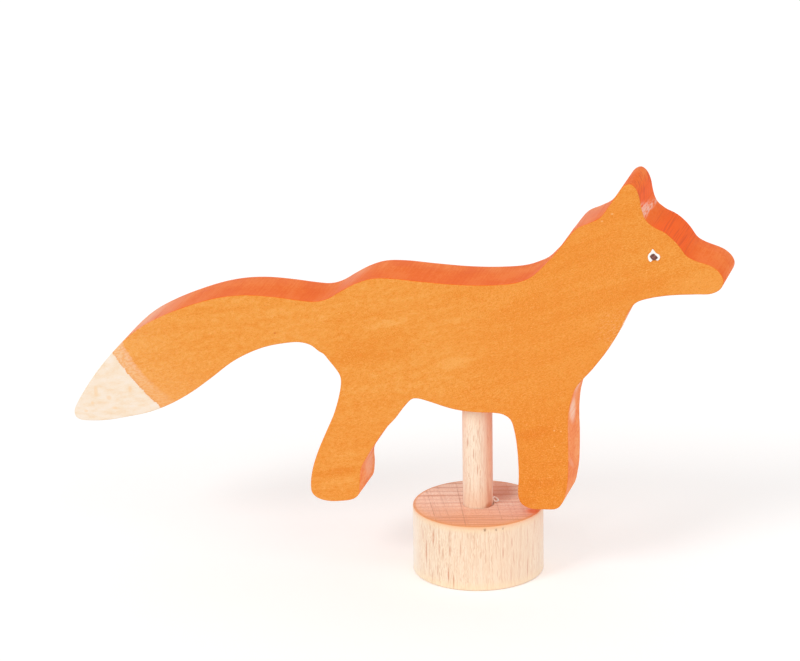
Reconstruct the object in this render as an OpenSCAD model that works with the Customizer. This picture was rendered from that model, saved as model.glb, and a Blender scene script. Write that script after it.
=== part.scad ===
/* [Fox] */
// Length of the fox from the tip of the tail to the nose
fox_length = 132; // [115:1:160]
// Height of the fox from its lowest foot to the tip of the ear
fox_height = 70; // [60:0.5:85]
// Thickness of the board that the fox is sawn from
board_thickness = 12; // [9:0.5:18]
// Distance from the tip of the tail to the middle of the peg
peg_from_tail = 81.8; // [72:0.2:92]
// Gap between the top of the stand and the lowest foot
foot_gap = 0.3; // [0.2:0.1:6]
// Depth of the hole that the peg is glued into, above the belly
belly_hole_depth = 12; // [8:0.5:16]

/* [Peg] */
// Diameter of the peg
peg_diameter = 6; // [4:0.5:8]
// Chamfer on both ends of the peg
peg_chamfer = 0.6; // [0.3:0.1:1]
// Gap around the peg in its two holes, on the radius
peg_clearance = 0.05; // [0.02:0.01:0.1]
// Gap between the top of the peg and the end of its hole
peg_end_gap = 0.3; // [0.2:0.1:1]

/* [Stand] */
// Diameter of the round stand
stand_diameter = 26; // [22:1:40]
// Height of the stand
stand_height = 13.6; // [12:0.2:20]
// Wood left under the hole in the stand
stand_floor = 3.6; // [2:0.2:6]
// Radius of the eased edges of the stand
stand_edge_radius = 0.3; // [0.2:0.1:1]
// Chamfer around the mouth of the hole in the stand
stand_mouth_chamfer = 0.15; // [0.1:0.05:0.8]

/* [Eye] */
// Width of the white of the eye
eye_width = 2.4; // [2:0.1:4]
// Height of the white of the eye
eye_height = 2.6; // [2:0.1:4]
// Width of the pupil
pupil_width = 1.5; // [1:0.1:1.8]
// Height of the pupil
pupil_height = 1.3; // [0.9:0.1:1.6]
// Thickness of each coat of paint
paint_thickness = 0.15; // [0.1:0.05:0.3]

/* [Hidden] */

$fn = 72;
// How far a cutting shape runs past the wood that it cuts
overrun = 1;
// Straight steps from one point of an outline to the next
curve_steps = 4;
// Straight steps in the quarter round of an eased edge
edge_steps = 6;

stain_orange = [0.95, 0.58, 0.23];
natural_lime = [0.98, 0.89, 0.78];
natural_beech = [0.96, 0.8, 0.65];
paint_white = [0.98, 0.97, 0.94];
paint_brown = [0.42, 0.24, 0.2];

// Outline of the fox, all the way round from the tip of the tail: each
// point is a share of the length from the tip of the tail, then a share of
// the height from the lowest foot.
tail_under_shares = [
    [0.001, 0.224], [0.000, 0.209], [0.003, 0.196], [0.011, 0.190],
    [0.029, 0.190], [0.057, 0.197], [0.089, 0.212], [0.121, 0.230],
    [0.152, 0.257], [0.185, 0.296], [0.218, 0.345], [0.250, 0.396],
    [0.275, 0.426], [0.305, 0.452], [0.335, 0.467], [0.358, 0.473],
    [0.375, 0.467], [0.388, 0.450], [0.395, 0.443], [0.404, 0.423]];
hind_leg_shares = [
    [0.414, 0.400], [0.420, 0.381], [0.421, 0.356], [0.411, 0.275],
    [0.398, 0.215], [0.384, 0.152], [0.374, 0.091], [0.371, 0.044],
    [0.373, 0.021], [0.381, 0.007], [0.398, 0.000], [0.418, 0.003],
    [0.436, 0.011], [0.445, 0.025], [0.448, 0.060], [0.450, 0.105],
    [0.459, 0.141], [0.471, 0.179], [0.489, 0.232]];
belly_shares = [
    [0.504, 0.265], [0.520, 0.307], [0.531, 0.328], [0.541, 0.330],
    [0.560, 0.322], [0.589, 0.308], [0.610, 0.303], [0.630, 0.302],
    [0.655, 0.304], [0.670, 0.301], [0.681, 0.287]];
front_leg_shares = [
    [0.687, 0.252], [0.691, 0.199], [0.693, 0.120], [0.692, 0.061],
    [0.697, 0.038], [0.711, 0.025], [0.732, 0.026], [0.751, 0.031],
    [0.760, 0.051], [0.767, 0.100], [0.769, 0.180], [0.769, 0.310],
    [0.773, 0.354], [0.781, 0.398]];
chest_and_jaw_shares = [
    [0.805, 0.454], [0.829, 0.517], [0.848, 0.579], [0.862, 0.639],
    [0.871, 0.659], [0.889, 0.673], [0.920, 0.686], [0.958, 0.694],
    [0.982, 0.699], [0.995, 0.714], [1.000, 0.737], [0.996, 0.757]];
snout_and_brow_shares = [
    [0.983, 0.777], [0.957, 0.791], [0.944, 0.804], [0.933, 0.831],
    [0.913, 0.865], [0.895, 0.881]];
ear_shares = [
    [0.884, 0.899], [0.878, 0.930], [0.874, 0.967], [0.868, 0.990],
    [0.860, 1.000], [0.851, 0.993], [0.842, 0.969], [0.829, 0.931],
    [0.817, 0.899], [0.800, 0.880], [0.781, 0.862]];
back_shares = [
    [0.757, 0.804], [0.735, 0.754], [0.713, 0.713], [0.690, 0.693],
    [0.650, 0.681], [0.600, 0.676], [0.546, 0.678], [0.500, 0.681],
    [0.470, 0.676], [0.445, 0.658]];
tail_top_shares = [
    [0.423, 0.633], [0.403, 0.609], [0.385, 0.598], [0.361, 0.598],
    [0.330, 0.602], [0.290, 0.604], [0.255, 0.598], [0.221, 0.583],
    [0.181, 0.555], [0.140, 0.519], [0.104, 0.477], [0.068, 0.411],
    [0.035, 0.333], [0.011, 0.262]];
fox_shares = concat(tail_under_shares, hind_leg_shares, belly_shares,
    front_leg_shares, chest_and_jaw_shares, snout_and_brow_shares,
    ear_shares, back_shares, tail_top_shares);

// Where the middle of the peg meets the belly
peg_share = [0.6197, 0.302];
// Where the stain ends on the tail, at its top and at its underside
stain_top_share = [0.065, 0.398];
stain_under_share = [0.138, 0.245];
// Middle of the eye
eye_share = [0.897, 0.796];

// Outlines of the white and of the pupil, from the middle of the eye, as
// shares of the width and of the height of each
eye_white_shares = [
    [-0.11, 0.60], [0.02, 0.48], [0.16, 0.31], [0.42, 0.19],
    [0.50, 0.01], [0.41, -0.20], [0.27, -0.27], [0.14, -0.22],
    [0.01, -0.21], [-0.13, -0.28], [-0.28, -0.40], [-0.40, -0.32],
    [-0.50, -0.01], [-0.42, 0.20], [-0.27, 0.35]];
pupil_shares = [
    [-0.50, 0.08], [-0.31, 0.37], [0.00, 0.50], [0.22, 0.28],
    [0.50, -0.03], [0.40, -0.24], [0.02, -0.50], [-0.30, -0.32]];

stand_radius = stand_diameter / 2;
peg_radius = peg_diameter / 2;
hole_radius = peg_radius + peg_clearance;
// Underside of the lowest foot, underside of the belly at the peg
foot_z = stand_height + foot_gap;
belly_z = foot_z + peg_share[1] * fox_height;
peg_length = belly_z + belly_hole_depth - peg_end_gap - stand_floor;

// Point on the face of the fox from its two shares. Behind the peg the fox
// follows peg_from_tail, and ahead of it the rest of the length.
function along_fox(share) = share < peg_share[0]
    ? (share / peg_share[0] - 1) * peg_from_tail
    : (share - peg_share[0]) / (1 - peg_share[0]) * (fox_length - peg_from_tail);
function on_fox(share) = [along_fox(share[0]), share[1] * fox_height + foot_z];

// Point at the share u of the way from b to c, on the smooth curve that
// runs through a, b, c and d
function ramp(p, q, from, to, t) = (p * (to - t) + q * (t - from)) / (to - from);
function curve_point(a, b, c, d, u) = let (
        tb = sqrt(norm(b - a)),
        tc = tb + sqrt(norm(c - b)),
        td = tc + sqrt(norm(d - c)),
        t = tb + (tc - tb) * u,
        ab = ramp(a, b, 0, tb, t),
        bc = ramp(b, c, tb, tc, t),
        cd = ramp(c, d, tc, td, t),
        abc = ramp(ab, bc, 0, tc, t),
        bcd = ramp(bc, cd, tb, td, t)
    ) ramp(abc, bcd, tb, tc, t);

// Closed smooth outline through all the points
function smooth_outline(points) = let (n = len(points)) [
    for (i = [0 : n - 1], step = [0 : curve_steps - 1])
        curve_point(points[(i + n - 1) % n], points[i], points[(i + 1) % n],
            points[(i + 2) % n], step / curve_steps)];

// Points of an arc about a centre, from one angle to the other
function arc(centre, radius, from, to) = [
    for (step = [0 : edge_steps]) let (angle = from + (to - from) * step / edge_steps)
        centre + radius * [cos(angle), sin(angle)]];

// Flat shape that stands upright along X, from its front at y_front back
module upright(points, y_front, thickness) {
    translate([0, y_front + thickness, 0])
        rotate([90, 0, 0])
            linear_extrude(height = thickness)
                polygon(points);
}

module fox_board() {
    difference() {
        upright(smooth_outline([for (share = fox_shares) on_fox(share)]),
            -board_thickness / 2, board_thickness);
        translate([0, 0, belly_z - overrun])
            cylinder(r = hole_radius, h = belly_hole_depth + overrun);
    }
}

// Block that holds the tip of the tail, up to the line where the stain ends
module tail_tip_space() {
    top = on_fox(stain_top_share);
    under = on_fox(stain_under_share);
    along = under - top;
    left = -peg_from_tail - overrun;
    upright([
            top - along, [left, (top - along)[1]], [left, (under + along)[1]],
            under + along],
        -board_thickness / 2 - overrun, board_thickness + 2 * overrun);
}

module fox_body() {
    color(stain_orange) difference() {
        fox_board();
        tail_tip_space();
    }
    color(natural_lime) intersection() {
        fox_board();
        tail_tip_space();
    }
}

module peg() {
    color(natural_beech)
        translate([0, 0, stand_floor])
            rotate_extrude()
                polygon([
                    [0, 0], [peg_radius - peg_chamfer, 0],
                    [peg_radius, peg_chamfer],
                    [peg_radius, peg_length - peg_chamfer],
                    [peg_radius - peg_chamfer, peg_length], [0, peg_length]]);
}

module stand() {
    edge_at = stand_radius - stand_edge_radius;
    color(natural_beech)
        rotate_extrude()
            polygon(concat(
                [[0, 0]],
                arc([edge_at, stand_edge_radius], stand_edge_radius, -90, 0),
                arc([edge_at, stand_height - stand_edge_radius],
                    stand_edge_radius, 0, 90),
                [[hole_radius + stand_mouth_chamfer, stand_height],
                [hole_radius, stand_height - stand_mouth_chamfer],
                [hole_radius, stand_floor], [0, stand_floor]]));
}

// The same coat of paint on both faces of the board, with a depth of paint
// already under it
module eye_coat(shares, width, height, under) {
    middle = on_fox(eye_share);
    points = smooth_outline([
        for (share = shares) middle + [share[0] * width, share[1] * height]]);
    face = board_thickness / 2 + under;
    upright(points, -face - paint_thickness, paint_thickness);
    upright(points, face, paint_thickness);
}

module eye_whites() {
    color(paint_white) eye_coat(eye_white_shares, eye_width, eye_height, 0);
}

module eye_pupils() {
    color(paint_brown)
        eye_coat(pupil_shares, pupil_width, pupil_height, paint_thickness);
}

fox_body();
peg();
stand();
eye_whites();
eye_pupils();
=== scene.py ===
"""A flat wooden fox on a peg and a round stand: its stain, its paint and the
grain of its wood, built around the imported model."""
import math

import bmesh
import bpy
from mathutils import Matrix, Vector


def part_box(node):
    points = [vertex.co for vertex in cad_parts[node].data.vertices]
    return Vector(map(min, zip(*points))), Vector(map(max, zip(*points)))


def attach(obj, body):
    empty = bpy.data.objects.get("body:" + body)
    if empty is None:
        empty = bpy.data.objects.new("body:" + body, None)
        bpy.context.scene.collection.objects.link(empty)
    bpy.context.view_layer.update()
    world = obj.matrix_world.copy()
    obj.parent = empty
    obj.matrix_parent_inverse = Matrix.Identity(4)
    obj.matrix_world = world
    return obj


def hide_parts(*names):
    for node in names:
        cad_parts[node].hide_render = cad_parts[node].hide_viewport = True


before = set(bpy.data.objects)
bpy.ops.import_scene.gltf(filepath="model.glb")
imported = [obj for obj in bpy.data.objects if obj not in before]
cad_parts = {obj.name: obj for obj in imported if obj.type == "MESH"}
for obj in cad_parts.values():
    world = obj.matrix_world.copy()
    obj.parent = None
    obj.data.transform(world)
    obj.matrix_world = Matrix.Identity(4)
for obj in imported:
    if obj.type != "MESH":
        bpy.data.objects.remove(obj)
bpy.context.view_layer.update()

MM = 0.001

# The photograph's camera, in the part's own frame
PHOTO_WIDTH_PX = 800
FOCAL_LENGTH_PX = 4561.7
CAMERA_DISTANCE = 900 * MM
CAMERA_AZIMUTH = math.radians(14.519)
CAMERA_ELEVATION = math.radians(19.162)
CAMERA_ROLL = math.radians(-0.845)
CAMERA_TARGET = Vector((-15.52, 0, 48.843)) * MM
CAMERA_RANGE = (10 * MM, 20)
SENSOR_WIDTH = 36

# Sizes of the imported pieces
BOARD_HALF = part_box("fox_body")[1].y
PEG_LOW, PEG_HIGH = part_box("peg")
PEG_RADIUS = PEG_HIGH.x
STAND_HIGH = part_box("stand")[1]
STAND_RADIUS = STAND_HIGH.x
STAND_TOP = STAND_HIGH.z

# How near a point or an edge has to lie to count as the same, how little two faces may
# turn to be joined up, how squarely a face has to point to count as flat, and how much
# flat faces outweigh the eased corners where the piece is shaded smooth
MERGE_GAP = 0.0005 * MM
RIM_GAP = 4 * MERGE_GAP
RING_GAP = 0.02 * MM
SAME_FACE_TURN = math.radians(0.1)
FLAT_FACE = 0.9
FLAT_FACE_WEIGHT = 100

# Finer sizes of the wood and the paint: how far corners are eased, where the larger ease
# of the head begins along X and Z and how soon it is full, how far the mouth of the hole
# stands off the peg, and how many sides make a piece round
BOARD_EASE = 0.2 * MM
HEAD_EASE = 0.45 * MM
HEAD_FROM = Vector((30, 66)) * MM
HEAD_FADE = 2 * MM
PEG_CHAMFER = 0.6 * MM
HOLE_GAP = 0.1 * MM
HOLE_SHIFT = Vector((0.07, -0.04, 0)) * MM
HOLE_EASE = 0.05 * MM
STAND_EASE = 0.3 * MM
PAINT_EASE = 0.06 * MM
PEG_SIDES = 96
STAND_SIDES = 240

# Where the saw leaned, so that the far rim of the board lies off the near one: each
# place and its reach along X and Z, and how far the rim is off, in millimetres
SAW_LEANS = (
    ((-21.2, 23.8), 2.2, (-0.35, 0.19)),
    ((19.6, 25.5), 6.0, (-0.22, 0)),
    ((19.9, 36.5), 3.5, (-0.2, 0)),
    ((30.1, 54.4), 2.2, (-0.33, 0.16)),
    ((15.2, 66.7), 2.2, (0.28, -0.26)),
    ((37.5, 75.0), 2.2, (0.14, 0.22)),
    ((42.8, 70.6), 2.4, (0.12, 0.14)),
)
LEAN_REACH = 3.5 * MM

# The torn fibre at the mouth of the hole, which sinks a little into the wood
CURL_PLACE = Vector((3.21, 1.75, 14.0)) * MM
CURL_TURN = [math.radians(angle) for angle in (8.3, 35.3, 0.3)]
CURL_RADIUS = 0.6 * MM
CURL_THICKNESS = 0.3 * MM
CURL_SINK = 0.02 * MM

# Nicks under the top rim of the stand, each by its place and its reach in millimetres
NICK_LEVEL = 12.87 * MM
NICK_HALF = 0.22 * MM
NICK_DEPTH = 0.14 * MM
RIM_NICKS = (
    (Vector((4.28, -12.27, 12.95)) * MM, 0.36),
    (Vector((6.35, -11.34, 12.8)) * MM, 0.25),
    (Vector((7.56, -10.58, 12.85)) * MM, 0.25),
)

# Between which values most of a soft noise lies
NOISE_LOW = 0.3
NOISE_HIGH = 0.7

# From here to the light, sizes and places of the finishes are in millimetres.
BOARD_FACE = BOARD_HALF / MM
# Where the stain ends on the tail: two arcs, each by its middle along X and Z
# and its radius
BARE_TIP_ARC = (-19.5, 80.2, 66.0)
THIN_COAT_ARC = (-47.1, 55.5, 26.5)
# The root of the tail, ahead of which neither arc counts, and how far ahead of the thin
# coat the stain is a little paler
TAIL_ROOT_X = -52
PALER_REACH = 16

# Bands in the face of the board, each by its middle, its reach and how much
# lighter it is
FACE_BANDS = (
    ((-20, -6, 48), (13, 3, 9), -0.06),
    ((46, -6, 63), (9, 3, 7), 0.06),
    ((-17, -6, 52), (7, 3, 1.4), 0.10),
    ((-3, -6, 45), (5, 3, 1.8), 0.08),
    ((-27, -6, 20.5), (7, 3, 1.1), -0.08),
    ((-27, -6, 18.3), (6, 3, 1.0), 0.06),
    ((-26, -6, 23.6), (6, 3, 1.1), 0.06),
    ((13, -6, 31.5), (6, 3, 1.8), -0.07),
    ((14, -6, 21), (6, 3, 1.6), -0.05),
    ((10.5, -6, 17), (4, 3, 1.4), -0.06),
)
# Pale specks in the face, each by its middle and its reach
PALE_SPECKS = (
    ((16.9, -6, 32.5), (0.3, 0.5, 0.22)),
    ((18.2, -6, 32.4), (0.25, 0.5, 0.18)),
    ((16.9, -6, 29.2), (0.22, 0.5, 0.16)),
    ((26.4, -6, 76.1), (0.35, 0.5, 0.25)),
    ((28.4, -6, 77.7), (0.4, 0.5, 0.25)),
    ((42.5, -6, 71.3), (0.7, 0.5, 0.3)),
)
DARK_SPECK = ((-39.5, -6, 48.6), (0.35, 0.5, 0.25))
# How the marks on the face slope with the grain, how steeply the grain climbs along the
# board, and how much steeper with each millimetre
FACE_SLOPE = (0, -math.radians(15), 0)
GRAIN_CLIMB = 0.306
GRAIN_CURVE = 0.00095
# Tan blotches in the bare tip of the tail
TIP_BLOTCHES = (
    ((-77.1, -6, 33.6), (0.6, 2, 1.5)),
    ((-74.4, -6, 32.4), (0.8, 2, 0.7)),
    ((-69.9, -6, 34.6), (0.5, 2, 1.0)),
    ((-73.2, -6, 30.3), (0.9, 2, 0.4)),
    ((-77.9, -6, 31.0), (0.5, 2, 0.5)),
    ((-79.3, -6, 29.2), (0.6, 2, 0.4)),
)
# Painted highlights on the sawn edge, where its slopes catch the light, each by its middle,
# its reach, its lean in degrees and its strength
EDGE_HIGHLIGHTS = (
    ((20.0, -1.8, 35.6), (3, 5.4, 3.1), -38, 0.75),
    ((22.5, -1, 43), (5, 7, 7), 0, 0.6),
    ((19.6, -2.6, 24.7), (2, 4.2, 0.9), -34, 0.22),
    ((-22.4, 1.5, 20.5), (3, 5, 5), 0, 0.35),
    ((29.5, 1, 54), (6, 16, 7), 0, 1.0),
    ((22.5, 2, 75), (5, 12, 5), 0, 0.16),
    ((-25, 3, 58.5), (5, 9, 4), 0, 0.14),
    ((-67.5, 1, 47.2), (5, 14, 5), 0, 0.3),
    ((-63.5, 2, 49), (7, 16, 6), 0, 0.14),
)


def open_in_edit_mode(piece):
    """Leaves only this piece selected, open in edit mode with nothing picked."""
    bpy.ops.object.select_all(action="DESELECT")
    piece.select_set(True)
    bpy.context.view_layer.objects.active = piece
    bpy.ops.object.mode_set(mode="EDIT")
    bpy.ops.mesh.select_all(action="DESELECT")


def pick(piece, kind, wanted):
    """Picks the points, edges or faces that wanted() accepts."""
    bpy.ops.mesh.select_mode(type=kind)
    bpy.ops.mesh.select_all(action="DESELECT")
    mesh = bmesh.from_edit_mesh(piece.data)
    elements = {"VERT": mesh.verts, "EDGE": mesh.edges, "FACE": mesh.faces}[kind]
    for element in elements:
        element.select_set(wanted(element))
    mesh.select_flush_mode()
    bmesh.update_edit_mesh(piece.data)


def smooth(piece):
    """Shades the piece smoothly, with its flat faces kept flat."""
    bpy.ops.object.mode_set(mode="OBJECT")
    bpy.ops.object.shade_smooth()
    weights = piece.modifiers.new("flat_faces", "WEIGHTED_NORMAL")
    weights.weight = FLAT_FACE_WEIGHT
    bpy.ops.object.modifier_apply(modifier=weights.name)


def copy_of_node(node, name):
    """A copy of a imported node's mesh, with its points joined up, open in edit mode."""
    piece = bpy.data.objects.new(name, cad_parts[node].data.copy())
    bpy.context.scene.collection.objects.link(piece)
    piece.data.materials.clear()
    open_in_edit_mode(piece)
    bpy.ops.mesh.select_all(action="SELECT")
    bpy.ops.mesh.remove_doubles(threshold=MERGE_GAP)
    bpy.ops.mesh.customdata_custom_splitnormals_clear()
    bpy.ops.mesh.dissolve_limited(angle_limit=SAME_FACE_TURN)
    return piece


def is_face_rim(edge, level):
    """Whether an edge runs round a flat face of the board or the paint."""
    if any(abs(abs(point.co.y) - level) > RIM_GAP for point in edge.verts):
        return False
    flat = [abs(face.normal.y) > FLAT_FACE for face in edge.link_faces]
    return len(flat) == 2 and flat[0] != flat[1]


def fox_board():
    """The board that the fox is sawn from, its corners sanded, and most of all on the head."""
    board = copy_of_node("fox_body", "fox")
    for place, reach, lean in SAW_LEANS:
        pick(board, "VERT", lambda point: point.co.y > BOARD_HALF - MERGE_GAP
             and (point.co.xz - Vector(place) * MM).length < reach * MM)
        bpy.ops.transform.translate(
            value=Vector((lean[0], 0, lean[1])) * MM, use_proportional_edit=True,
            proportional_edit_falloff="SMOOTH", proportional_size=LEAN_REACH)
    mesh = bmesh.from_edit_mesh(board.data)
    weights = mesh.edges.layers.float.new("bevel_weight_edge")
    for edge in mesh.edges:
        if is_face_rim(edge, BOARD_HALF):
            middle = (edge.verts[0].co + edge.verts[1].co) / 2
            on_head = min(middle.x - HEAD_FROM.x, middle.z - HEAD_FROM.y) / HEAD_FADE
            share = min(max(on_head, 0), 1) if middle.y < 0 else 0
            edge[weights] = share + (1 - share) * BOARD_EASE / HEAD_EASE
    bmesh.update_edit_mesh(board.data)
    bpy.ops.object.mode_set(mode="OBJECT")
    ease = board.modifiers.new("eased_corners", "BEVEL")
    ease.limit_method = "WEIGHT"
    ease.width = HEAD_EASE
    ease.segments = 4
    ease.use_clamp_overlap = False
    bpy.ops.object.modifier_apply(modifier=ease.name)
    smooth(board)
    return board


def paint_coat(node, name):
    """One coat of the painted eyes, its rims drawn round by the wet paint."""
    coat = copy_of_node(node, name)
    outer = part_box(node)[1].y
    pick(coat, "EDGE", lambda edge: is_face_rim(edge, outer))
    bpy.ops.mesh.bevel(offset=PAINT_EASE, segments=3, profile=0.6, affect="EDGES",
                       clamp_overlap=True)
    smooth(coat)
    return coat


def round_block(name, radius, low, high, sides):
    """A round piece of wood about the axis of the peg, open in edit mode."""
    bpy.ops.object.select_all(action="DESELECT")
    bpy.ops.mesh.primitive_cylinder_add(vertices=sides, radius=radius, depth=high - low,
                                        location=(0, 0, (low + high) / 2))
    block = bpy.context.object
    block.name = block.data.name = name
    bpy.ops.object.transform_apply(location=True, rotation=True, scale=True)
    open_in_edit_mode(block)
    return block


def is_ring(edge, radius, level, middle=Vector((0, 0, 0))):
    """Whether an edge lies on a level ring of this radius about the middle."""
    return all(abs((point.co - middle).xy.length - radius) < RING_GAP
               and abs(point.co.z - level) < RING_GAP for point in edge.verts)


def peg():
    """The dowel, chamfered at both ends."""
    dowel = round_block("dowel", PEG_RADIUS, PEG_LOW.z, PEG_HIGH.z, PEG_SIDES)
    pick(dowel, "EDGE", lambda edge: is_ring(edge, PEG_RADIUS, PEG_LOW.z)
         or is_ring(edge, PEG_RADIUS, PEG_HIGH.z))
    bpy.ops.mesh.bevel(offset=PEG_CHAMFER, segments=2, profile=0.5, affect="EDGES")
    smooth(dowel)
    return dowel


def stand():
    """The turned stand: a slice with a hole for the peg in its top."""
    block = round_block("stand_block", STAND_RADIUS, 0, STAND_TOP, STAND_SIDES)
    hole_radius = PEG_RADIUS + HOLE_GAP
    pick(block, "FACE", lambda face: face.normal.z > FLAT_FACE)
    bpy.ops.mesh.inset(thickness=STAND_RADIUS - hole_radius)
    bpy.ops.transform.translate(value=HOLE_SHIFT)
    bpy.ops.mesh.extrude_region_move(
        TRANSFORM_OT_translate={"value": (0, 0, PEG_LOW.z - STAND_TOP)})
    pick(block, "EDGE", lambda edge: is_ring(edge, STAND_RADIUS, 0)
         or is_ring(edge, STAND_RADIUS, STAND_TOP))
    bpy.ops.mesh.bevel(offset=STAND_EASE, segments=4, profile=0.5, affect="EDGES")
    pick(block, "EDGE", lambda edge: is_ring(edge, hole_radius, STAND_TOP, HOLE_SHIFT))
    bpy.ops.mesh.bevel(offset=HOLE_EASE, segments=2, profile=0.5, affect="EDGES")
    for level in (NICK_LEVEL - NICK_HALF, NICK_LEVEL, NICK_LEVEL + NICK_HALF):
        bpy.ops.mesh.select_all(action="SELECT")
        bpy.ops.mesh.bisect(plane_co=(0, 0, level), plane_no=(0, 0, 1))
    for place, reach in RIM_NICKS:
        pick(block, "VERT", lambda point: abs(point.co.z - NICK_LEVEL) < MERGE_GAP
             and (point.co.xy - place.xy).length < reach * MM)
        bpy.ops.transform.translate(value=place.xy.to_3d().normalized() * -NICK_DEPTH)
    smooth(block)
    return block


def fibre_curl():
    """A torn fibre that curls out of the mouth of the hole."""
    bpy.ops.object.select_all(action="DESELECT")
    bpy.ops.mesh.primitive_torus_add(
        major_segments=48, minor_segments=10, major_radius=CURL_RADIUS,
        minor_radius=CURL_THICKNESS / 2, location=CURL_PLACE, rotation=CURL_TURN)
    curl = bpy.context.object
    curl.name = curl.data.name = "fibre_curl"
    bpy.ops.object.transform_apply(location=True, rotation=True, scale=True)
    open_in_edit_mode(curl)
    bpy.ops.mesh.select_all(action="SELECT")
    bpy.ops.mesh.bisect(plane_co=(0, 0, STAND_TOP - CURL_SINK), plane_no=(0, 0, 1),
                        use_fill=True, clear_inner=True)
    smooth(curl)
    return curl


def colour(shade):
    """Red, green and blue of 255 made linear; an output stays as it is."""
    if isinstance(shade, bpy.types.NodeSocket):
        return shade
    parts = [level / 255 for level in shade]
    linear = [part / 12.92 if part <= 0.04045 else ((part + 0.055) / 1.055) ** 2.4
              for part in parts]
    return (*linear, 1.0)


class Finish:
    """The nodes of one material, on the piece's own coordinates in millimetres."""

    def __init__(self, name):
        self.material = bpy.data.materials.new(name)
        self.material.use_nodes = True
        self.nodes = self.material.node_tree.nodes
        self.links = self.material.node_tree.links
        self.shader = self.nodes["Principled BSDF"]
        coordinates = self.nodes.new("ShaderNodeTexCoord")
        self.place = self.vector("SCALE", coordinates.outputs["Object"], 1 / MM)
        self.x, self.y, self.z = self.split(self.place)

    def feed(self, socket, value):
        """Links an output to a socket, or sets a plain value on it."""
        if isinstance(value, bpy.types.NodeSocket):
            self.links.new(value, socket)
        else:
            socket.default_value = value

    def number(self, operation, *values):
        """One sum on plain values or outputs."""
        node = self.nodes.new("ShaderNodeMath")
        node.operation = operation
        for socket, value in zip(node.inputs, values):
            self.feed(socket, value)
        return node.outputs[0]

    def total(self, *parts):
        """Sum of values, each with its share."""
        whole = 0.0
        for value, share in parts:
            whole = self.number("MULTIPLY_ADD", value, share, whole)
        return whole

    def vector(self, operation, first, second=None):
        """One sum on places; a distance or a length comes out as a number."""
        node = self.nodes.new("ShaderNodeVectorMath")
        node.operation = operation
        self.feed(node.inputs[0], first)
        if operation == "SCALE":
            self.feed(node.inputs["Scale"], second)
        elif second is not None:
            self.feed(node.inputs[1], second)
        return node.outputs["Value" if operation in ("DISTANCE", "LENGTH") else "Vector"]

    def point(self, x, y, z):
        """A place from its three numbers."""
        node = self.nodes.new("ShaderNodeCombineXYZ")
        for socket, value in zip(node.inputs, (x, y, z)):
            self.feed(socket, value)
        return node.outputs[0]

    def split(self, place):
        """The three numbers of a place."""
        node = self.nodes.new("ShaderNodeSeparateXYZ")
        self.feed(node.inputs[0], place)
        return node.outputs

    def laid(self, lengths, place=None, turn=(0, 0, 0), middle=(0, 0, 0)):
        """Coordinates about a middle, turned and in steps of the three lengths."""
        node = self.nodes.new("ShaderNodeMapping")
        node.vector_type = "TEXTURE"
        self.feed(node.inputs["Vector"], place or self.place)
        node.inputs["Location"].default_value = middle
        node.inputs["Rotation"].default_value = turn
        node.inputs["Scale"].default_value = lengths
        return node.outputs[0]

    def noise(self, lengths, place=None, turn=(0, 0, 0), detail=2.0, roughness=0.5):
        """Soft noise around 0.5, in patches of the three lengths."""
        node = self.nodes.new("ShaderNodeTexNoise")
        self.feed(node.inputs["Vector"], self.laid(lengths, place, turn))
        node.inputs["Scale"].default_value = 1.0
        node.inputs["Detail"].default_value = detail
        node.inputs["Roughness"].default_value = roughness
        return node.outputs[0]

    def window(self, value, start, end):
        """0 up to start, 1 from end on, smooth between them."""
        node = self.nodes.new("ShaderNodeMapRange")
        node.interpolation_type = "SMOOTHSTEP"
        for name, number in (("Value", value), ("From Min", start), ("From Max", end)):
            self.feed(node.inputs[name], number)
        return node.outputs[0]

    def mark(self, middle, reach, turn=(0, 0, 0)):
        """1 in the middle of a soft oval mark, 0 outside its reach."""
        far = self.vector("LENGTH", self.laid(reach, turn=turn, middle=middle))
        return self.window(far, 1.0, 0.3)

    def blend(self, share, first, second):
        """From the first colour to the second as share goes from 0 to 1."""
        node = self.nodes.new("ShaderNodeMix")
        node.data_type = "RGBA"
        self.feed(node.inputs[0], share)
        self.feed(node.inputs[6], colour(first))
        self.feed(node.inputs[7], colour(second))
        return node.outputs[2]

    def times(self, first, second):
        """One value times another, so two shares count only where both do."""
        return self.number("MULTIPLY", first, second)

    def part(self, share, strength):
        """A share made weaker."""
        return self.times(share, strength)

    def shades(self, value, *stops):
        """Colours along a value, each stop its place and its colour."""
        node = self.nodes.new("ShaderNodeValToRGB")
        self.feed(node.inputs[0], value)
        points = node.color_ramp.elements
        while len(points) < len(stops):
            points.new(0.5)
        for point, (place, shade) in zip(points, stops):
            point.position = place
            point.color = colour(shade)
        return node.outputs[0]

    def bloom(self, weight):
        """The pale bloom of bare fibres seen along the surface."""
        self.feed(self.shader.inputs["Sheen Weight"], weight)
        self.feed(self.shader.inputs["Sheen Roughness"], 0.5)

    def surface(self, tone, height, depth, smoothest, roughest, shine):
        """Colour, relief and shine, the hollows rougher than the raised grain."""
        self.feed(self.shader.inputs["Base Color"], tone)
        self.feed(self.shader.inputs["Specular IOR Level"], shine)
        rough = self.nodes.new("ShaderNodeMapRange")
        self.feed(rough.inputs["Value"], height)
        rough.inputs["From Min"].default_value = NOISE_LOW
        rough.inputs["From Max"].default_value = NOISE_HIGH
        rough.inputs["To Min"].default_value = roughest
        rough.inputs["To Max"].default_value = smoothest
        self.feed(self.shader.inputs["Roughness"], rough.outputs[0])
        bump = self.nodes.new("ShaderNodeBump")
        bump.inputs["Distance"].default_value = depth * MM
        self.feed(bump.inputs["Height"], height)
        self.feed(self.shader.inputs["Normal"], bump.outputs[0])


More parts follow.
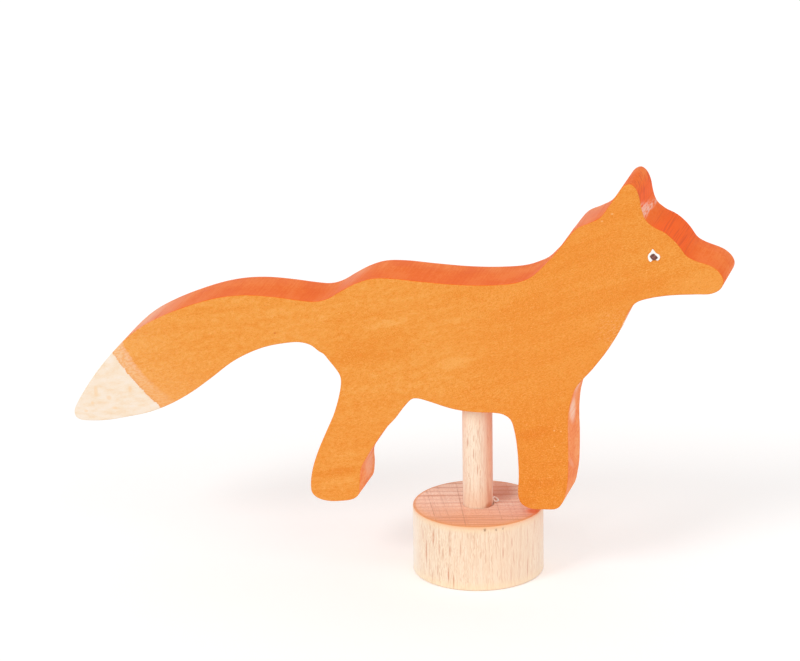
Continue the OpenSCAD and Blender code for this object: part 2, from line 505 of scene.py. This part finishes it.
def past_arc(wood, arc, ragged):
    """How far a point of the tail lies outside an arc on the board."""
    x, z, radius = arc
    far = wood.vector("DISTANCE", wood.point(wood.x, 0, wood.z), (x, 0, z))
    past = wood.number("ADD", wood.number("SUBTRACT", far, radius), ragged)
    return wood.number("MINIMUM", past, wood.number("SUBTRACT", TAIL_ROOT_X, wood.x))


def board_grain(wood):
    """Coordinates that follow the grain of the board, which climbs along the tail."""
    climb = wood.times(wood.x, wood.total((1.0, GRAIN_CLIMB), (wood.x, GRAIN_CURVE)))
    level_out = wood.total((1.0, 0.2), (wood.window(wood.z, 14, 40), 0.8))
    drift = wood.noise((42, 42, 16), detail=1)
    across = wood.total((wood.z, 1), (wood.times(climb, level_out), -1), (drift, 6))
    return wood.point(wood.x, wood.y, across)


def stained_face(wood, grain, speckle):
    """The flat faces: banded, clouded and full of fine pale and dark grains."""
    bands = wood.noise((16, 8, 2.4), grain, detail=3)
    cloudy = wood.noise((1.7, 2, 0.85), grain, detail=2)
    fibres = wood.noise((1.5, 0.4, 0.17), grain, detail=1)
    grains = wood.noise((0.42, 0.4, 0.36), grain, detail=1)
    grit = wood.noise((0.2, 0.2, 0.16), grain, detail=1)
    legs = wood.window(wood.z, 46, 30)
    front = wood.window(wood.x, -12, 14)
    banded = wood.total((1.0, 0.24), (legs, -0.12), (front, -0.05))
    clouded = wood.total((1.0, 0.3), (front, -0.14))
    lay = wood.total((wood.number("SUBTRACT", bands, 0.5), banded),
                     (wood.number("SUBTRACT", cloudy, 0.5), clouded), (speckle, 0.66), (1.0, 0.17))
    for middle, reach, lighter in FACE_BANDS:
        lay = wood.total((lay, 1), (wood.mark(middle, reach, FACE_SLOPE), lighter))
    thinner = wood.shades(lay, (0.38, (230, 137, 40)), (0.5, (236, 154, 61)),
                          (0.62, (241, 171, 88)))
    fuller = wood.shades(lay, (0.38, (228, 124, 26)), (0.5, (233, 137, 39)),
                         (0.62, (239, 153, 58)))
    deeper = wood.total((front, 0.6), (legs, 0.35))
    face = wood.blend(deeper, thinner, fuller)
    face = wood.blend(wood.part(wood.window(fibres, 0.62, 0.76), 0.45), face, (250, 184, 104))
    pale_grains = wood.times(wood.window(grains, 0.64, 0.76),
                             wood.total((1.0, 0.65), (deeper, -0.35)))
    face = wood.blend(pale_grains, face, (252, 194, 106))
    face = wood.blend(wood.part(wood.window(grains, 0.38, 0.26), 0.45), face, (214, 126, 46))
    face = wood.blend(wood.part(wood.window(grit, 0.5, 0.66), 0.22), face, (255, 190, 112))
    face = wood.blend(wood.part(wood.window(grit, 0.5, 0.34), 0.22), face, (200, 118, 46))
    for middle, reach in PALE_SPECKS:
        speck = wood.mark(middle, reach, FACE_SLOPE)
        face = wood.blend(wood.part(speck, 0.5), face, (252, 205, 140))
    return wood.blend(wood.part(wood.mark(*DARK_SPECK), 0.6), face, (205, 92, 40))


def stained_edge(wood, scratches):
    """The sawn edge: a deeper red, darkest on the brow, worn on the legs, with painted highlights
    in places.
    """
    pores = wood.noise((0.4, 0.9, 0.4))
    clouds = wood.noise((5, 7, 5))
    sawn = wood.total((scratches, 0.25), (pores, 0.25), (clouds, 0.5))
    edge = wood.shades(sawn, (0.4, (238, 101, 12)), (0.5, (243, 115, 28)), (0.6, (247, 132, 52)))
    edge = wood.blend(wood.part(wood.window(wood.y, 5, -5), 0.45), edge, (243, 99, 6))
    edge = wood.blend(wood.part(wood.window(wood.y, 0, 6), 0.12), edge, (248, 158, 120))
    brow = wood.number("MAXIMUM", wood.mark((40.4, 0, 73.8), (7.6, 60, 6.4)),
                       wood.mark((34.4, 0, 80.6), (3, 60, 3.4)))
    saw_lines = wood.noise((0.3, 40, 0.3), detail=2, roughness=0.6)
    dark_lines = wood.times(brow, wood.window(saw_lines, 0.5, 0.62))
    edge = wood.blend(wood.part(brow, 0.85), edge, (249, 96, 4))
    edge = wood.blend(wood.part(dark_lines, 0.5), edge, (214, 70, 8))
    on_ear = wood.mark((33.6, 0, 82.5), (3, 60, 5))
    ear_lines = wood.noise((1, 6, 0.5), turn=(math.radians(39), 0, 0), detail=2)
    ear_lines = wood.times(on_ear, wood.window(ear_lines, 0.5, 0.64))
    edge = wood.blend(wood.part(ear_lines, 0.6), edge, (214, 74, 26))
    worn = wood.shades(wood.total((scratches, 0.15), (pores, 0.45), (clouds, 0.4)),
                       (0.4, (243, 126, 56)), (0.5, (251, 146, 73)), (0.62, (253, 171, 108)))
    edge = wood.blend(wood.part(wood.window(wood.z, 50, 38), 0.85), edge, worn)
    streaks = wood.window(scratches, 0.25, 0.5)
    # Painted highlights on the slopes of the edge, broken up by the saw marks
    for middle, reach, lean, strength in EDGE_HIGHLIGHTS:
        pale = wood.mark(middle, reach, (math.radians(lean), 0, 0))
        pale = wood.times(wood.part(pale, strength), streaks)
        edge = wood.blend(pale, edge, (254, 218, 196))
    # A painted highlight in the hollow at the foot of the ear, slanting across the edge
    fuzz = wood.noise((0.3, 2.2, 0.26), detail=2)
    slant = wood.total((wood.z, 1), (wood.y, 0.23), (fuzz, 1.6))
    ear_foot_highlight = wood.number("MINIMUM", wood.window(wood.z, 76.8, 77.5),
                           wood.window(slant, 80.1, 79.0))
    ear_foot_highlight = wood.number("MINIMUM", ear_foot_highlight, wood.mark((34.4, 0, 78.5), (3.5, 60, 9)))
    ear_foot_highlight = wood.times(ear_foot_highlight, wood.window(fuzz, 0.34, 0.6))
    return wood.blend(wood.part(ear_foot_highlight, 0.8), edge, (247, 204, 186))


def bare_tip(wood, grain, speckle, stain):
    """The tip of the tail left bare, with the stain over it in a thin coat, then in full."""
    teeth = wood.noise((3, 3, 0.3), grain, detail=2)
    wander = wood.noise((8, 3, 2.2), grain, detail=1)
    ragged = wood.total((teeth, 0.9), (wander, 0.7), (1.0, -0.8))
    past_thin = past_arc(wood, THIN_COAT_ARC, ragged)
    past_stain = past_arc(wood, BARE_TIP_ARC, ragged)
    blotches = wood.noise((2.6, 1.6, 1.7), grain, detail=2)
    bare = wood.shades(wood.total((blotches, 0.6), (speckle, 0.4)),
                       (0.34, (240, 213, 180)), (0.5, (243, 225, 203)), (0.64, (244, 230, 215)))
    for middle, reach in TIP_BLOTCHES:
        bare = wood.blend(wood.part(wood.mark(middle, reach), 0.55), bare, (243, 205, 156))
    low_end = wood.window(wood.z, 43, 32)
    mottle = wood.window(wood.noise((0.7, 0.6, 0.4), grain, detail=2), 0.42, 0.6)
    thin = wood.blend(low_end, (244, 208, 168), (243, 190, 134))
    lapped = wood.times(wood.window(past_thin, 1.3, 0.2), wood.window(low_end, 0.7, 0.3))
    thin = wood.blend(wood.part(lapped, 0.4), thin, (244, 180, 150))
    thin = wood.blend(wood.total((1.0, 0.3), (mottle, 0.36), (low_end, 0.06)), thin, stain)
    paler = wood.total((1.0, 0.03), (mottle, 0.14), (low_end, 0.08))
    paler = wood.times(wood.window(past_thin, -PALER_REACH, 0.5), paler)
    stain = wood.blend(paler, stain, (250, 205, 140))
    soft_end = wood.total((1.0, 0.15), (low_end, 0.5))
    full_end = wood.part(soft_end, -1.0)
    coat = wood.blend(wood.window(past_thin, full_end, soft_end), stain, thin)
    pooled = wood.times(wood.window(past_stain, -0.36, -0.12), wood.window(teeth, 0.35, 0.55))
    coat = wood.blend(wood.part(pooled, 0.45), coat, (226, 142, 80))
    return wood.blend(wood.window(past_stain, -0.08, 0.08), coat, bare)


def stained_lime():
    """Lime wood under a transparent orange stain that stops short of the tail's tip."""
    wood = Finish("stained_lime")
    grain = board_grain(wood)
    speckle = wood.noise((0.62, 0.4, 0.26), grain, detail=3, roughness=0.7)
    scratches = wood.noise((0.3, 16, 0.3), detail=3, roughness=0.6)
    on_brow = wood.times(wood.window(wood.x, 30, 33), wood.window(wood.z, 66, 69))
    on_brow = wood.times(on_brow, wood.window(wood.y, 0, -4))
    outwards = wood.total((wood.number("ABSOLUTE", wood.y), 1), (speckle, -0.3), (on_brow, 0.22))
    on_edge = wood.window(outwards, BOARD_FACE - 0.15, BOARD_FACE - 0.27)
    stain = wood.blend(on_edge, stained_face(wood, grain, speckle), stained_edge(wood, scratches))
    tone = bare_tip(wood, grain, speckle, stain)
    height = wood.total((speckle, 0.6), (scratches, 0.4))
    shine = wood.total((1.0, 0.2), (on_edge, -0.15))
    wood.surface(tone, height, 0.02, 0.5, 0.7, shine)
    wood.bloom(wood.part(on_edge, 0.08))
    return wood.material


# Lay of the rings in the beech, and of the rays across them
RING_TURN = (0, 0, math.radians(15))
RAY_TURN = (0, 0, math.radians(20.6))
# How level an eased corner lies where end grain still shows on it
HOLE_END_GRAIN = 0.2
RIM_END_GRAIN = 0.7
# Rings in the top of the stand: how far each lies from the middle, how wide and how dark
TOP_RINGS = (
    (-11.9, 0.6, 0.45), (-9.2, 0.5, 0.9), (-7.6, 0.5, 0.8), (-6.8, 0.4, 0.8),
    (-5.1, 0.4, 0.3), (-3.6, 0.5, 0.5), (-1.7, 0.5, 0.4), (0.4, 0.6, 0.6),
    (2.4, 0.5, 0.5), (4.5, 0.6, 1.0), (6.7, 0.5, 0.8), (8.9, 0.6, 1.0), (11.1, 0.7, 0.9),
)
# Rays in the top of the stand, each by a point on it, its lean and how dark it is
TOP_RAYS = (
    ((-11.63, 4.27), 20.6, 0.5), ((-7.31, 0.13), 21.5, 0.3), ((-5.53, 5.59), 18.4, 0.5),
    ((4.43, -1.52), 20.0, 0.35), ((-9.2, 0.0), 21.0, 0.2), ((8.3, -3.0), 20.0, 0.2),
)
# Streaks in the side of the stand, each by its middle, half its length and how dark it is
SIDE_STREAKS = (
    ((-8.15, -10.13, 6.4), 2.1, 0.72), ((-6.43, -11.3, 10.1), 1.5, 0.85),
    ((-2.72, -12.72, 8.1), 1.0, 0.9), ((-3.12, -12.62, 3.0), 1.5, 0.9),
    ((-2.0, -12.85, 1.4), 1.4, 0.9), ((11.42, -6.21, 3.0), 1.7, 0.9),
    ((7.52, -10.61, 7.7), 1.0, 0.9), ((9.05, -9.33, 9.7), 0.8, 0.9),
    ((-9.0, -9.37, 9.8), 1.0, 0.4), ((-6.74, -11.12, 1.6), 1.2, 0.45),
    ((-5.54, -11.76, 3.4), 1.1, 0.4), ((-5.05, -11.98, 8.0), 1.1, 0.55),
    ((-4.25, -12.29, 7.4), 0.9, 0.5), ((-2.79, -12.7, 11.0), 1.6, 0.5),
    ((-0.5, -12.99, 8.6), 1.3, 0.55), ((6.52, -11.25, 3.5), 0.7, 0.4),
    ((7.71, -10.47, 11.2), 1.3, 0.5), ((8.85, -9.52, 2.7), 1.7, 0.45),
    ((9.31, -9.07, 6.4), 1.3, 0.5), ((10.47, -7.7, 5.9), 1.0, 0.4),
    ((11.46, -6.14, 9.8), 1.8, 0.45), ((12.19, -4.52, 6.4), 1.5, 0.5),
    ((12.39, -3.94, 11.9), 1.0, 0.45),
)
# Streaks in the front of the peg, in the same way
PEG_STREAKS = (
    ((0.81, -2.89, 29.6), 0.6, 0.6), ((-0.1, -3.0, 25.0), 0.9, 0.6),
    ((0.64, -2.93, 21.8), 1.0, 0.6), ((-1.37, -2.67, 27.4), 0.8, 0.6),
    ((1.12, -2.78, 32.0), 0.9, 0.6), ((2.46, -1.71, 17.2), 1.5, 0.8),
)
# Which way the side of the peg with the leg's painted reflection looks, along X and Y
LEG_REFLECTION_WAY = (0.968, 0.25)


def long_grain(name, streaks, fleck_height, paler):
    """Untreated beech cut along the grain, with the ends of its rays as short dark flecks."""
    wood = Finish(name)
    waver = wood.noise((1.6, 1.6, 3), detail=1)
    crackle = wood.noise((0.7, 0.7, 1.1), detail=0)
    aside = wood.total((waver, 0.45), (crackle, 0.22))
    place = wood.vector("ADD", wood.place, wood.point(aside, aside, 0))
    lines = wood.noise((0.11, 0.11, 8), place, detail=0)
    clouds = wood.noise((1.6, 4, 9), turn=RING_TURN, detail=2)
    flecks = wood.noise((0.13, 5, fleck_height), place, turn=RAY_TURN, detail=1)
    pores = wood.noise((0.2, 0.2, 1.1), detail=1)
    lay = wood.total((lines, 0.5), (clouds, 0.08), (pores, 0.42))
    tone = wood.shades(lay, (0.34, (240, 215, 184)), (0.5, (248, 228, 201)),
                       (0.66, (250, 235, 213)))
    tone = wood.blend(paler, tone, (252, 239, 218))
    tone = wood.blend(wood.part(wood.window(lines, 0.44, 0.34), 0.5), tone, (222, 182, 152))
    tone = wood.blend(wood.part(wood.window(flecks, 0.62, 0.7), 0.22), tone, (224, 164, 128))
    cracks = wood.noise((0.22, 0.22, 2.4), place, turn=RAY_TURN, detail=1)
    tone = wood.blend(wood.part(wood.window(cracks, 0.58, 0.68), 0.3), tone, (222, 170, 134))
    for middle, half_length, darkness in streaks:
        mark = wood.mark(middle, (0.18, 1.0, half_length * 1.7), turn=RAY_TURN)
        mark = wood.times(mark, wood.window(pores, 0.2, 0.45))
        tone = wood.blend(wood.part(mark, darkness), tone, (208, 138, 104))
    return wood, tone, wood.total((lines, 0.6), (pores, 0.4)), lines


def peg_beech():
    """The dowel, with painted light: the orange leg's reflection down one side, a lighter top, the
    stand's reflection at its foot and shade where it meets the hole's mouth.
    """
    wood, tone, height, _ = long_grain("peg_beech", PEG_STREAKS, 2.2, 0.5)
    along_x, along_y = LEG_REFLECTION_WAY
    # Painted reflection of the orange leg, salmon down the right side of the peg
    leg_reflection = wood.window(wood.total((wood.x, along_x), (wood.y, along_y)), 0.7, 2.3)
    tone = wood.blend(wood.part(leg_reflection, 0.24), tone, (255, 205, 172))
    # Painted light: the top of the peg lightened against the shade under the belly
    tone = wood.blend(wood.part(wood.window(wood.z, 29, 34), 0.6), tone, (255, 236, 208))
    # Painted reflection: the foot of the peg darker and more red from the stand's top
    tone = wood.blend(wood.part(wood.window(wood.z, 20, 14), 0.35), tone, (238, 188, 148))
    # Painted shade where the peg meets the mouth of the hole, as in the gap beside it
    gap_shade = wood.mark((2.65, -1.3, 13.6), (1.3, 1.9, 1.4))
    tone = wood.blend(wood.part(gap_shade, 0.85), tone, (204, 126, 80))
    gap_shade = wood.mark((2.75, -1.2, 14.6), (0.9, 1.4, 3.4))
    tone = wood.blend(wood.part(gap_shade, 0.5), tone, (214, 140, 100))
    wood.surface(tone, height, 0.02, 0.55, 0.7, 0.2)
    wood.bloom(0.7)
    return wood.material


def stand_beech():
    """The side of the stand: brown along its top rim, nicked below it, with painted light and shade
    across it and at its foot.
    """
    wood, tone, height, lines = long_grain("stand_beech", SIDE_STREAKS, 2.6, 0.0)
    # Painted shade: darker from the middle to the right, away from the key lamp
    turned = wood.times(wood.window(wood.x, -9, 3), wood.window(wood.x, 14, 8))
    tone = wood.blend(wood.part(turned, 0.2), tone, (240, 194, 160))
    # Painted highlight: the left edge of the side lighter where it catches the light
    tone = wood.blend(wood.part(wood.window(wood.x, -9, -12), 0.8), tone, (255, 247, 230))
    top = STAND_TOP / MM
    level = wood.total((1.0, -0.35), (wood.z, 1), (wood.window(wood.x, -10, 2), 0.25), (lines, 0.7))
    tone = wood.blend(wood.part(wood.window(level, top - 1.6, top - 0.4), 0.6), tone,
                      (248, 216, 176))
    tone = wood.blend(wood.part(wood.window(level, top - 0.6, top + 0.1), 0.7), tone,
                      (243, 184, 134))
    # Painted light: the foot of the side paler, against the floor's shade at the bottom edge
    foot = wood.window(wood.z, 2.4, 0.4)
    tone = wood.blend(wood.part(foot, 0.4), tone, (253, 230, 188))
    # The nicks are coloured dark with painted shade in their hollows, and sunk in the relief
    for place, reach in RIM_NICKS:
        nick = wood.mark(tuple(place / MM), (reach, reach, reach * 1.5))
        nick = wood.times(nick, wood.window(lines, 0.3, 0.55))
        tone = wood.blend(wood.part(nick, 0.9), tone, (160, 110, 72))
        height = wood.total((height, 1), (nick, -1.5))
    # Painted light: the right side lighter and pinker where the key lamp does not reach
    tone = wood.blend(wood.part(wood.window(wood.x, 3, 12), 0.3), tone, (255, 226, 202))
    wood.surface(tone, height, 0.02, 0.55, 0.7, 0.2)
    wood.bloom(0.55)
    return wood.material


def torn_fibre():
    """A single pale strand."""
    wood = Finish("torn_fibre")
    strands = wood.noise((0.1, 0.1, 0.4), detail=1)
    tone = wood.shades(strands, (0.36, (255, 250, 244)), (0.6, (255, 255, 252)))
    wood.surface(tone, strands, 0.01, 0.5, 0.7, 0.2)
    wood.bloom(1.0)
    return wood.material


def end_grain():
    """The sawn end of the beech: growth rings crossed by rays, with the foot's painted reflection
    and the peg's painted shadow on its top.
    """
    wood = Finish("beech_end_grain")
    wander = wood.noise((14, 3, 9), turn=RING_TURN, detail=1)
    across_rings = wood.split(wood.laid((1, 1, 1), turn=RING_TURN))[1]
    level = wood.total((across_rings, 1), (wander, 0.8), (1.0, -0.4))
    finer = wood.noise((30, 0.3, 9), turn=RING_TURN, detail=2)
    pores = wood.noise((0.3, 0.3, 0.3), detail=1)
    lay = wood.total((finer, 0.5), (pores, 0.5))
    tone = wood.shades(lay, (0.34, (238, 188, 162)), (0.5, (252, 216, 194)),
                       (0.66, (255, 231, 214)))
    warmer = wood.times(wood.window(wood.y, 1, -10), wood.window(wood.x, -22, -1))
    tone = wood.blend(wood.part(warmer, 0.6), tone, (236, 166, 112))
    veins = wood.part(wood.window(finer, 0.48, 0.62), warmer)
    tone = wood.blend(wood.part(veins, 0.55), tone, (210, 122, 68))
    # Painted reflection of the orange foot, with its shade, on the top just below it
    foot_reflection = wood.mark((11.9, -1.7, 13.6), (2.4, 2.2, 3))
    tone = wood.blend(wood.part(foot_reflection, 0.85), tone, (240, 122, 50))
    broken = wood.total((1.0, 0.4), (wood.noise((2.5, 0.5, 9), turn=RING_TURN), 1.2))
    for distance, width, strength in TOP_RINGS:
        off = wood.number("ABSOLUTE", wood.total((level, 1), (1.0, -distance)))
        ring = wood.times(wood.window(off, width, width * 0.15), broken)
        tone = wood.blend(wood.part(ring, strength * 0.52), tone, (206, 138, 108))
    rays = wood.noise((0.2, 14, 9), turn=RAY_TURN, detail=1)
    tone = wood.blend(wood.part(wood.window(rays, 0.56, 0.7), 0.3), tone, (218, 158, 132))
    patchy = wood.window(wood.noise((2, 2, 2)), 0.3, 0.6)
    for (x, y), lean, strength in TOP_RAYS:
        along_ray = wood.laid((1, 1, 1), turn=(0, 0, math.radians(lean)), middle=(x, y, 0))
        off = wood.number("ABSOLUTE", wood.split(along_ray)[0])
        ray = wood.times(wood.window(off, 0.17, 0.05), patchy)
        tone = wood.blend(wood.part(ray, strength), tone, (190, 130, 104))
    far = wood.vector("LENGTH", wood.point(wood.x, wood.y, 0))
    towards_rim = wood.times(wood.window(far, 10.8, 12.2), wood.window(wood.y, 0, -8))
    tone = wood.blend(wood.part(towards_rim, 0.32), tone, (238, 170, 104))
    rim = wood.window(wood.total((far, 1), (pores, 0.5)), STAND_RADIUS / MM - 0.5,
                      STAND_RADIUS / MM - 0.2)
    tone = wood.blend(wood.part(rim, 0.6), tone, (230, 158, 102))
    # Painted shadow of the peg and the fox, on the top behind the peg to the right
    peg_shadow = wood.mark((2.4, 7.8, 13.6), (4.8, 8, 3), turn=(0, 0, math.radians(8)))
    tone = wood.blend(wood.part(peg_shadow, 0.62), tone, (202, 104, 66))
    wood.surface(tone, lay, 0.02, 0.55, 0.7, 0.25)
    return wood.material


def finish_stand(block):
    """Long grain on the side and in the hole, end grain on the top and the underside."""
    block.data.materials.append(stand_beech())
    block.data.materials.append(end_grain())
    for face in block.data.polygons:
        by_the_hole = face.center.xy.length < PEG_RADIUS * 2
        least_level = HOLE_END_GRAIN if by_the_hole else RIM_END_GRAIN
        face.material_index = 1 if abs(face.normal.z) > least_level else 0


def paint(name, shade, thin_shade):
    """Paint laid on with a small brush, which dries with a soft shine."""
    coat = Finish(name)
    strokes = coat.noise((0.5, 0.5, 0.5), detail=2)
    tone = coat.shades(strokes, (0.36, thin_shade), (0.56, shade))
    coat.surface(tone, strokes, 0.02, 0.4, 0.55, 0.4)
    return coat.material


def dress(piece, body, slot, *nodes):
    """Puts a piece on its body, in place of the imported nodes."""
    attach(piece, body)
    if nodes:
        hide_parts(*nodes)


def make_camera():
    """The camera that took the photograph."""
    along_floor = math.cos(CAMERA_ELEVATION)
    back = Vector((math.sin(CAMERA_AZIMUTH) * along_floor,
                   -math.cos(CAMERA_AZIMUTH) * along_floor, math.sin(CAMERA_ELEVATION)))
    bpy.ops.object.camera_add(location=CAMERA_TARGET + back * CAMERA_DISTANCE)
    camera = bpy.context.object
    level = back.to_track_quat("Z", "Y").to_matrix().to_4x4()
    camera.rotation_euler = (level @ Matrix.Rotation(CAMERA_ROLL, 4, "Z")).to_euler()
    camera.data.sensor_width = SENSOR_WIDTH
    camera.data.lens = FOCAL_LENGTH_PX / PHOTO_WIDTH_PX * SENSOR_WIDTH
    camera.data.clip_start, camera.data.clip_end = CAMERA_RANGE
    bpy.context.scene.camera = camera


# The soft lamps: the way to each, how strong and how wide it is, and its colour
LAMPS = (
    (Vector((-0.48, -0.66, 0.55)), 0.80, math.radians(22), (1, 1, 1)),
    (Vector((0.70, -0.50, 0.50)), 0.62, math.radians(60), (1, 0.93, 0.88)),
)
ROOM_STRENGTH = 0.73
FLOOR_SIZE = 8
FLOOR_COLOUR = (0.93, 0.93, 0.93, 1)
FLOOR_GLOW = 0.16


def seen_rays(nodes, links):
    """1 for the rays that show what lies behind the object: straight, mirrored or through."""
    path = nodes.new("ShaderNodeLightPath")
    seen = path.outputs["Is Camera Ray"]
    for kind in ("Is Glossy Ray", "Is Transmission Ray"):
        either = nodes.new("ShaderNodeMath")
        either.operation = "MAXIMUM"
        links.new(seen, either.inputs[0])
        links.new(path.outputs[kind], either.inputs[1])
        seen = either.outputs[0]
    return seen


def make_floor():
    """A pale floor that looks white where no shadow falls."""
    bpy.ops.mesh.primitive_plane_add(size=FLOOR_SIZE)
    floor = bpy.context.object
    floor.name = "floor"
    material = bpy.data.materials.new("pale_floor")
    material.use_nodes = True
    nodes, links = material.node_tree.nodes, material.node_tree.links
    shader = nodes["Principled BSDF"]
    shader.inputs["Base Color"].default_value = FLOOR_COLOUR
    shader.inputs["Roughness"].default_value = 0.9
    shader.inputs["Specular IOR Level"].default_value = 0.0
    glow = nodes.new("ShaderNodeMath")
    glow.operation = "MULTIPLY"
    links.new(seen_rays(nodes, links), glow.inputs[0])
    glow.inputs[1].default_value = FLOOR_GLOW
    links.new(glow.outputs[0], shader.inputs["Emission Strength"])
    shader.inputs["Emission Color"].default_value = (1, 1, 1, 1)
    floor.data.materials.append(material)


def make_light():
    """Two soft lamps and a bright room, which looks white behind the object."""
    for way, strength, width, tint in LAMPS:
        bpy.ops.object.light_add(type="SUN")
        lamp = bpy.context.object
        lamp.rotation_euler = way.to_track_quat("Z", "Y").to_euler()
        lamp.data.energy = strength
        lamp.data.angle = width
        lamp.data.color = tint
    world = bpy.data.worlds.new("studio")
    bpy.context.scene.world = world
    world.use_nodes = True
    nodes, links = world.node_tree.nodes, world.node_tree.links
    background = nodes["Background"]
    background.inputs["Color"].default_value = (1, 1, 1, 1)
    strength = nodes.new("ShaderNodeMapRange")
    links.new(seen_rays(nodes, links), strength.inputs["Value"])
    strength.inputs["To Min"].default_value = ROOM_STRENGTH
    strength.inputs["To Max"].default_value = 1.0
    links.new(strength.outputs[0], background.inputs["Strength"])
    bpy.context.scene.view_settings.view_transform = "Standard"


make_camera()
make_floor()
make_light()

board = fox_board()
board.data.materials.append(stained_lime())
dress(board, "fox", "stained_lime", "fox_body")

whites = paint_coat("eye_whites", "eye_white_paint")
whites.data.materials.append(paint("white_paint", (255, 254, 252), (250, 244, 238)))
dress(whites, "fox", "white_paint", "eye_whites")

pupils = paint_coat("eye_pupils", "eye_brown_paint")
pupils.data.materials.append(paint("brown_paint", (100, 52, 42), (140, 90, 82)))
dress(pupils, "fox", "brown_paint", "eye_pupils")

dowel = peg()
dowel.data.materials.append(peg_beech())
dress(dowel, "peg", "beech", "peg")

block = stand()
finish_stand(block)
dress(block, "stand", "beech", "stand")

curl = fibre_curl()
curl.data.materials.append(torn_fibre())
dress(curl, "stand", "beech")
